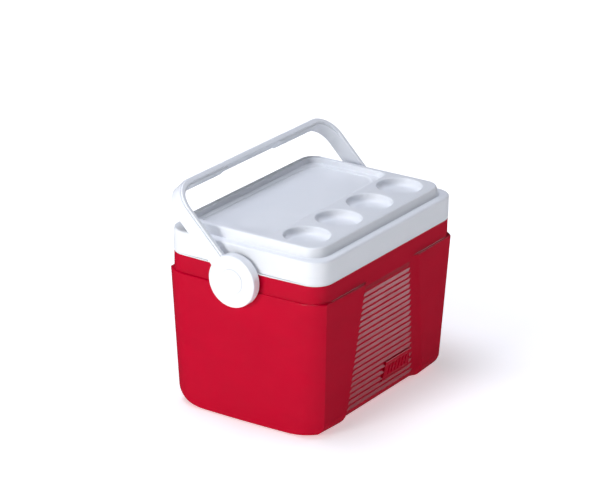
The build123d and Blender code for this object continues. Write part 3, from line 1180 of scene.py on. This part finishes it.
@dataclass
class LidTop:
    """White lid: skirt, shelf and raised top with the tray and the row of can wells."""

    finish: bpy.types.Material
    skirt_bottom: float
    top: float
    half_x: float
    half_y: float
    well_places: list[tuple[float, float]]
    corner: float = 30.0
    skirt: float = 35.3
    shelf_width: float = 12.7
    plateau_draft: float = 11.7
    plateau_corner: float = 25.0
    skirt_edge: float = 3.0
    nook: float = 1.5
    top_edge: float = 2.4
    wall: float = 3.0
    floor_skin: float = 2.5
    foam_gap: float = 0.3
    tray_depth: float = 10.0
    tray_rim: float = 10.0
    tray_front: float = -25.0
    tray_lip: float = 1.8
    tray_corner: float = 16.0
    tray_draft: float = 12.0
    tray_foot: float = 1.8
    step_drop: float = 7.6
    step_inset: float = 8.0
    well_radius: float = 34.5
    well_depth: float = 12.0
    well_lip: float = 2.0
    well_bowl: float = 7.5

    @property
    def shelf(self) -> float:
        """Height of the shelf round the raised top."""
        return self.skirt_bottom + self.skirt

    @property
    def run(self) -> float:
        """How far the raised top's walls lean in over their height."""
        return (self.top - self.shelf) * math.tan(math.radians(self.plateau_draft))

    @property
    def tray_edge(self) -> tuple[float, float]:
        """Half length of the tray and its rear edge, at the top."""
        inset = self.shelf_width + self.run + self.tray_rim
        return self.half_x - inset, self.half_y - inset

    def ring(self, inset: float, radius: float, height: float) -> np.ndarray:
        """The lid's outline, inset from its widest, at a height."""
        x, y = self.half_x - inset, self.half_y - inset
        return rounded_ring(-x, x, -y, y, radius, height)

    def outside(self) -> list[np.ndarray]:
        """Rings of the outer face, from the skirt's lower edge to the raised top."""
        foot = self.shelf_width
        run = self.run
        rings = [
            self.ring(0.6, self.corner - 0.6, self.skirt_bottom),
            self.ring(0.15, self.corner - 0.15, self.skirt_bottom + 0.25),
            self.ring(0.0, self.corner, self.skirt_bottom + 0.8),
            self.ring(0.0, self.corner, self.shelf - self.skirt_edge),
        ]
        for c, s in arc(self.skirt_edge, 12, 90, 6):
            inset = self.skirt_edge - c
            rings.append(self.ring(inset, self.corner - inset, self.shelf - self.skirt_edge + s))
        foot_radius = self.plateau_corner + run
        for angle in (0, 30, 60, 80):
            a = math.radians(angle)
            inset = foot - self.nook * (1 - math.sin(a))
            lift = self.nook * (1 - math.cos(a))
            lean = lift / (self.top - self.shelf) * run
            rings.append(self.ring(inset + lean, foot_radius + foot - inset - lean, self.shelf + lift))
        for angle in (12, 30, 50, 70, 90):
            a = math.radians(angle)
            drop = self.top_edge * (1 - math.sin(a))
            inset = foot + run * (1 - drop / (self.top - self.shelf)) + self.top_edge * (1 - math.cos(a))
            rings.append(self.ring(inset, self.plateau_corner + foot + run - inset, self.top - drop))
        return rings

    def tray_wall(self, drop: float, stepped: bool) -> float:
        """Inset of a tray wall at a drop below the top.

        Args:
            drop: Distance below the top.
            stepped: Whether the wall has the narrow step near the floor.

        Returns:
            Inset from the tray's nominal edge.
        """
        if drop < self.tray_lip:
            return -self.tray_lip + math.sqrt(self.tray_lip**2 - (self.tray_lip - drop) ** 2)
        inset = (drop - self.tray_lip) * math.tan(math.radians(self.tray_draft))
        if stepped and drop > self.step_drop:
            inset += self.step_inset * min((drop - self.step_drop) / 0.25, 1.0)
        foot = self.tray_foot
        if drop > self.tray_depth - foot:
            inset += foot - math.sqrt(max(foot**2 - (drop - self.tray_depth + foot) ** 2, 0.0))
        return inset

    def slope(self, drop: float) -> float:
        """Inset of the tray's gentle front slope at a drop, on an S curve."""
        share = min(max(drop / self.tray_depth, 0.0), 1.0)
        return -8.0 + 20.0 * (0.5 - math.sin(math.asin(1 - 2 * share) / 3))

    def tray(self) -> list[np.ndarray]:
        """Rings of the tray recess, from its lip to its floor."""
        half, rear = self.tray_edge
        rings = []
        lip = (0, 0.08, 0.3, 0.7, 1.2, 1.8)
        wall = (3.0, 4.5, 6.0, 7.2, 7.6, 7.72, 7.85, 8.0)
        foot = (8.4, 8.9, 9.3, 9.65, 9.9, 10.0)
        for drop in lip + wall + foot:
            steep = self.tray_wall(drop, False)
            stepped = self.tray_wall(drop, True)
            wide = min(max((drop - self.step_drop) / 0.4, 0.0), 1.0)
            upper = self.tray_wall(min(drop, 6.0), False)
            radius = self.tray_corner - upper + 11.0 * wide
            rings.append(
                rounded_ring(
                    -half + steep,
                    half - stepped,
                    self.tray_front + self.slope(drop),
                    rear - stepped,
                    radius,
                    self.top - drop,
                )
            )
        return rings

    def well(self, x: float, y: float) -> list[np.ndarray]:
        """Rings of one can well, from its lip to its floor."""
        rings = []
        for c, s in arc(self.well_lip, 90, 180, 5):
            radius = self.well_radius + self.well_lip + c
            rings.append(circle_ring(x, y, radius, self.top - self.well_lip + s, 56))
        base = self.top - self.well_depth + self.well_bowl
        for c, s in arc(self.well_bowl, 0, -90, 7):
            radius = self.well_radius - 0.6 - self.well_bowl + c
            rings.append(circle_ring(x, y, radius, base + s, 56))
        return rings

    def underside(self, lid: Surface, low: np.ndarray) -> None:
        """Close the lid from below with a skin's thickness.

        Args:
            lid: Surface to add to.
            low: Lowest ring of the outer face.
        """
        step = self.shelf - self.wall
        roof = self.top - self.wall
        foot = self.shelf_width + self.wall
        run = self.run * (roof - step) / (self.top - self.shelf)
        core = self.plateau_corner + self.run
        ceiling = self.ring(foot + run, core - self.wall - run, roof)
        rings = [
            low,
            self.ring(self.wall, self.corner - self.wall, self.skirt_bottom),
            self.ring(self.wall, self.corner - self.wall, step),
            self.ring(foot, core - self.wall, step),
            ceiling,
        ]
        lid.loft(rings)
        hollows = self.hollows(self.floor_skin, roof)
        lid.sheet(ceiling, tuple(h[0] for h in hollows))
        for hollow in hollows:
            lid.loft(hollow)
            lid.sheet(hollow[-1])

    def foam(self, material: bpy.types.Material) -> bpy.types.Object:
        """Make the foam that fills the lid, cut clear of the tray's steep walls."""
        above, floor = self.hollows(self.floor_skin + self.foam_gap, self.top)[0]
        block = Surface()
        block.loft([above, floor])
        block.sheet(above)
        block.sheet(floor)
        mesh = combine("LidFoam", node_copy("lid_insulation"), [block.mesh("tray_space")], "DIFFERENCE")
        obj = link("LidFoam", mesh, material)
        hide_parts("lid_insulation")
        return finish_piece(obj, "lid", crease=30.0)

    def hollows(self, skin: float, roof: float) -> list[list[np.ndarray]]:
        """Rings of the tray's and the wells' undersides, each from the roof down.

        Args:
            skin: Distance kept from the tray's and wells' faces.
            roof: Height at which they start.

        Returns:
            Two rings for each hollow, the tray's first.
        """
        half, rear = (edge + skin for edge in self.tray_edge)
        front = self.tray_front - skin
        tray_floor, well_floor = self.top - self.tray_depth - skin, self.top - self.well_depth - skin
        corner = self.tray_corner + skin
        hollows = [[rounded_ring(-half, half, front, rear, corner, h) for h in (roof, tray_floor)]]
        for x, y in self.well_places:
            hollows.append([circle_ring(x, y, self.well_radius + skin, h, 40) for h in (roof, well_floor)])
        return hollows

    def build(self) -> bpy.types.Object:
        """Make the lid's top as one closed piece."""
        lid = Surface()
        outer, tray = self.outside(), self.tray()
        wells = [self.well(x, y) for x, y in self.well_places]
        lid.loft(outer)
        lid.sheet(outer[-1], (tray[0], *(w[0] for w in wells)))
        for rings in (tray, *wells):
            lid.loft(rings)
            lid.sheet(rings[-1])
        self.underside(lid, outer[0])
        obj = link("LidTopSkin", lid.mesh("LidTopSkin"), self.finish)
        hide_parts("lid_top")
        return finish_piece(obj, "lid", crease=40.0)


@dataclass
class CarryHandle:
    """White handle: a strap with a raised band that bends over between two hub discs."""

    finish: bpy.types.Material
    pivot: tuple[float, float]
    tilt: float = 45.0
    half: float = 210.8
    reach: float = 164.7
    bend: float = 42.0
    half_strap: float = 13.75
    half_band: float = 11.0
    thickness: float = 8.9
    raise_height: float = 2.5
    deep: float = 11.6
    grip: float = 81.0
    grip_step: float = 71.0
    start: float = 25.0
    hub_radius: float = 40.0
    hub_back: float = 195.8
    hub_edge: float = 2.0
    root_bury: float = 0.08
    bore: float = 9.05
    cap_recess: float = 19.1
    cap_seat: float = 208.8
    washer_recess: float = 13.4
    web_face: float = 203.6
    cap_radius: float = 19.0
    cap_face: float = 212.0

    def section(self, plain: float, depth: float) -> list[tuple[float, float]]:
        """The strap's section as pairs of distance across and depth below the outer face.

        Args:
            plain: 0 for the band with its two flanges, 1 for the plain rounded grip.
            depth: Depth of the strap's middle below the outer face.

        Returns:
            Points round the section.
        """
        band, strap, step, back = self.half_band, self.half_strap, self.raise_height, self.thickness
        flanged = [
            (band - 1.2, 0.0),
            (band - 0.45, 0.2),
            (band - 0.1, 0.7),
            (band, 1.3),
            (band, step - 0.35),
            (band + 0.3, step),
            (strap - 0.8, step),
            (strap - 0.2, step + 0.25),
            (strap, step + 0.8),
        ]
        smooth = [
            (strap - 4.2, 0.0),
            (strap - 3.0, 0.12),
            (strap - 2.1, 0.45),
            (strap - 1.35, 0.95),
            (strap - 0.75, 1.6),
            (strap - 0.35, 2.3),
            (strap - 0.12, 3.0),
            (strap - 0.03, 3.5),
            (strap, 4.0),
        ]
        edge = [
            ((1 - plain) * a[0] + plain * b[0], (1 - plain) * a[1] + plain * b[1])
            for a, b in zip(flanged, smooth)
        ]
        edge += [
            (strap, back - 1.4),
            (strap - 0.25, back - 0.6),
            (strap - 0.8, back - 0.15),
            (strap - 1.6, back),
            (band, back),
            (band - 0.3, max(back, depth - 1.2)),
            (band - 0.8, max(back, depth - 0.4)),
            (band - 1.8, depth),
        ]
        return edge + [(-w, t) for w, t in reversed(edge)]

    def stations(self) -> list[tuple[float, float, float, float, float]]:
        """Places along the strap: across, out, the outward angle, plainness and depth."""
        straight = self.reach - self.bend
        rest = self.half - self.bend
        half_path = []
        for out in (self.start, 36.0, 50.0, 70.0, 95.0, straight - 4.0):
            half_path.append((self.half, out, 0.0, 0.0, self.thickness))
        half_path.append((self.half, straight, 0.0, 0.0, self.deep))
        for c, s in arc(self.bend, 7.5, 90, 11):
            angle = math.degrees(math.atan2(s, c))
            half_path.append((rest + c, straight + s, angle, 0.0, self.deep))
        for place in (self.grip + 40, self.grip + 2.5):
            half_path.append((place, self.reach, 90.0, 0.0, self.deep))
        for share in (0.25, 0.5, 0.75, 1.0):
            half_path.append((self.grip + 2.5 - 5 * share, self.reach, 90.0, share, self.deep))
        half_path.append((self.grip_step + 1.5, self.reach, 90.0, 1.0, self.deep))
        half_path.append((self.grip_step - 2.0, self.reach, 90.0, 1.0, self.thickness))
        half_path.append((self.grip_step / 2, self.reach, 90.0, 1.0, self.thickness))
        mirrored = [(-x, out, 180 - angle, p, d) for x, out, angle, p, d in reversed(half_path)]
        return half_path + mirrored

    def placed(self, x: float, out: float, across: float) -> tuple[float, float, float]:
        """Turn a place in the handle's plane into the box's frame."""
        a = math.radians(self.tilt)
        y = self.pivot[0] + out * math.sin(a) - across * math.cos(a)
        z = self.pivot[1] + out * math.cos(a) + across * math.sin(a)
        return x, y, z

    def strap(self) -> bpy.types.Mesh:
        """The swept strap, closed at both ends inside the hubs."""
        body = Surface()
        rings = []
        for x, out, angle, plain, depth in self.stations():
            a = math.radians(angle)
            bury = self.root_bury if out < self.hub_radius - 3 else 0.0
            points = [
                self.placed(x - (t + bury) * math.cos(a), out - (t + bury) * math.sin(a), w)
                for w, t in self.section(plain, depth)
            ]
            rings.append(np.array(points))
        body.loft(rings)
        count = len(rings[0])
        body.faces.append(tuple(range(count)))
        last = (len(rings) - 1) * count
        body.faces.append(tuple(range(last, last + count)))
        return body.mesh("strap")

    def hub(self, end: End) -> bpy.types.Mesh:
        """One hub disc with a rounded rim and the recess for its cap."""
        s = end.value
        profile = [
            (self.bore, self.hub_back),
            (self.hub_radius - 1.0, self.hub_back),
            (self.hub_radius - 0.3, self.hub_back + 0.3),
            (self.hub_radius, self.hub_back + 1.0),
        ]
        face = self.half
        for c, t in arc(self.hub_edge, 0, 90, 6):
            profile.append((self.hub_radius - self.hub_edge + c, face - self.hub_edge + t))
        profile += [
            (self.cap_recess + 0.5, face),
            (self.cap_recess + 0.12, face - 0.15),
            (self.cap_recess, face - 0.5),
            (self.cap_recess, self.cap_seat),
            (self.washer_recess, self.cap_seat),
            (self.washer_recess, self.web_face),
            (self.bore, self.web_face),
        ]
        disc = Surface()
        disc.spin([(r, s * x) for r, x in profile], self.pivot, 112)
        return disc.mesh(f"hub_{end.name.lower()}")

    def build(self) -> bpy.types.Object:
        """Make the handle with both hubs as one fused piece."""
        mesh = combine("HandleStrap", self.strap(), [self.hub(end) for end in End], "UNION")
        obj = link("HandleStrap", mesh, self.finish)
        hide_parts("handle_bail")
        return finish_piece(obj, "handle", crease=35.0)

    def cap(self, end: End) -> bpy.types.Object:
        """Make the slightly crowned cap that closes one hub."""
        s = end.value
        seat, face, radius = self.cap_seat, self.cap_face, self.cap_radius
        profile = [(0.0, seat), (radius - 0.3, seat), (radius, seat + 0.3)]
        for c, t in arc(0.8, 0, 80, 5):
            profile.append((radius - 0.8 + c, face - 1.25 + t))
        profile += [(radius * 0.8, face - 0.33), (radius * 0.55, face - 0.15), (radius * 0.25, face - 0.03)]
        profile.append((0.0, face))
        disc = Surface()
        disc.spin([(r, s * x) for r, x in profile], self.pivot, 72)
        name = f"HubCover_{end.name.lower()}"
        obj = link(name, disc.mesh(name), self.finish)
        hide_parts(f"hub_cap_{end.name.lower()}")
        return finish_piece(obj, "handle", crease=40.0)


@dataclass(frozen=True)
class Lamp:
    """A soft rectangular lamp aimed at the box."""

    name: str
    place: tuple[float, float, float]
    aim: tuple[float, float, float]
    width: float
    height: float
    power: float
    colour: str

    def build(self) -> None:
        """Hang the lamp."""
        data = bpy.data.lights.new(self.name, "AREA")
        data.shape = "RECTANGLE"
        data.size, data.size_y = self.width, self.height
        data.energy = self.power
        data.color = linear(self.colour)[:3]
        obj = bpy.data.objects.new(self.name, data)
        obj.location = self.place
        direction = Vector(self.aim) - Vector(self.place)
        obj.rotation_mode = "QUATERNION"
        obj.rotation_quaternion = direction.to_track_quat("-Z", "Y")
        bpy.context.scene.collection.objects.link(obj)


@dataclass(frozen=True)
class Studio:
    """Pale floor, soft light and the camera."""

    azimuth: float = -57.12
    elevation: float = 20.95
    roll: float = 0.85
    location: tuple[float, float, float] = (-3.5449, -2.2682, 1.8350)
    lens: float = 179.52
    ambient: float = 0.05
    floor_half: float = 6000.0
    floor_corner: float = 400.0
    floor_drop: float = 0.2
    lamps: tuple[Lamp, ...] = (
        Lamp("key_end", (-2.7, 0.45, 0.95), (0, 0, 0.15), 0.9, 0.7, 34.5, "FFFFFF"),
        Lamp("overhead", (-0.3, 0.3, 2.4), (0, 0, 0.2), 1.2, 1.0, 34.0, "EFF3FF"),
        Lamp("right_strip", (2.2, -1.25, 1.35), (0, -0.1, 0.13), 0.5, 0.5, 7.5, "F4F6FF"),
    )

    def camera(self) -> None:
        """Place the camera."""
        az, el, roll = (math.radians(a) for a in (self.azimuth, self.elevation, self.roll))
        right = Vector((math.cos(az), math.sin(az), 0))
        back = Vector((math.sin(az) * math.cos(el), -math.cos(az) * math.cos(el), math.sin(el)))
        up = back.cross(right)
        across = math.cos(roll) * right + math.sin(roll) * up
        upward = -math.sin(roll) * right + math.cos(roll) * up
        data = bpy.data.cameras.new("camera")
        data.lens = self.lens
        data.sensor_width = 36.0
        data.clip_end = 100.0
        obj = bpy.data.objects.new("camera", data)
        obj.matrix_world = Matrix.Translation(self.location) @ Matrix(
            (across, upward, back)
        ).transposed().to_4x4()
        bpy.context.scene.collection.objects.link(obj)
        bpy.context.scene.camera = obj

    def build(self) -> None:
        """Set up floor, light and camera."""
        sweep = Surface()
        half = self.floor_half
        sweep.sheet(rounded_ring(-half, half, -half, half, self.floor_corner, -self.floor_drop))
        # The floor's material adds a painted glow, dimmer close to the box as painted shade.
        floor = link("floor", sweep.mesh("floor"), StudioSweep("white_floor_with_painted_glow").material())
        if floor.data.polygons[0].normal.z < 0:
            floor.data.flip_normals()
        floor.visible_glossy = False
        world = bpy.data.worlds.new("studio")
        world.use_nodes = True
        back = world.node_tree.nodes["Background"]
        back.inputs[0].default_value = linear("F4F6FF")
        back.inputs[1].default_value = self.ambient
        bpy.context.scene.world = world
        bpy.context.scene.view_settings.view_transform = "Standard"
        for lamp in self.lamps:
            lamp.build()
        self.camera()


def dress(names: tuple[str, ...], material: bpy.types.Material) -> None:
    """Give CAD nodes a finish.

    Args:
        names: Node names.
        material: Their finish.
    """
    for name in names:
        data = frame["nodes"][name].data
        data.materials.clear()
        data.materials.append(material)
        log.info("%s: finished as %s", name, material.name)


def main() -> None:
    """Build every piece in order."""
    logging.basicConfig(level=logging.INFO, format="%(message)s")
    red = MouldedPlastic(
        "red_moulded_polypropylene", "C4002A", "BF0029", roughness=0.23, specular=0.2
    ).material()
    white = MouldedPlastic(
        "white_moulded_polypropylene", "F3F5F9", "F0F3F7", roughness=0.36, translucency=0.08
    ).material()
    liner = MouldedPlastic(
        "white_liner_polystyrene", "F4F5F6", "EDEFF1", roughness=0.3, ior=1.59
    ).material()
    acetal = MouldedPlastic("grey_moulded_acetal", "5C6064", "53575B", roughness=0.38, ior=1.48).material()
    dress(("inner_liner", "lid_liner", "lid_plug"), liner)
    dress(("base_plug_left", "base_plug_right"), red)
    foam = RigidFoam("rigid_polyurethane_foam").material()
    dress(("pivot_bush_left", "pivot_bush_right", "backing_plate_left", "backing_plate_right"), acetal)
    steel = PlatedSteel("zinc_plated_steel").material()
    dress(("pivot_screw_left", "pivot_screw_right", "pivot_washer_left", "pivot_washer_right"), steel)

    hinge = next(j for j in frame["joints"] if j["name"] == "handle_swing")
    pivot = (hinge["pos_m"][1] / MM, hinge["pos_m"][2] / MM)
    low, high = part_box("lid_top")
    openings = frame["record"]["physics"]["openings"]
    wells = [
        tuple((o["box_m"][0][i] + o["box_m"][1][i]) / 2 / MM for i in (0, 1))
        for o in openings
        if o["name"].startswith("can_well")
    ]
    shell = OuterShell(red, rim_height=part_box("outer_shell")[1].z / MM)
    shell.build(pivot)
    shell.foam(foam)
    lid = LidTop(white, low.z / MM, high.z / MM, high.x / MM, high.y / MM, wells)
    lid.build()
    lid.foam(foam)
    handle = CarryHandle(white, pivot)
    handle.build()
    for end in End:
        handle.cap(end)
    Studio().build()


if __name__ == "__main__":
    main()
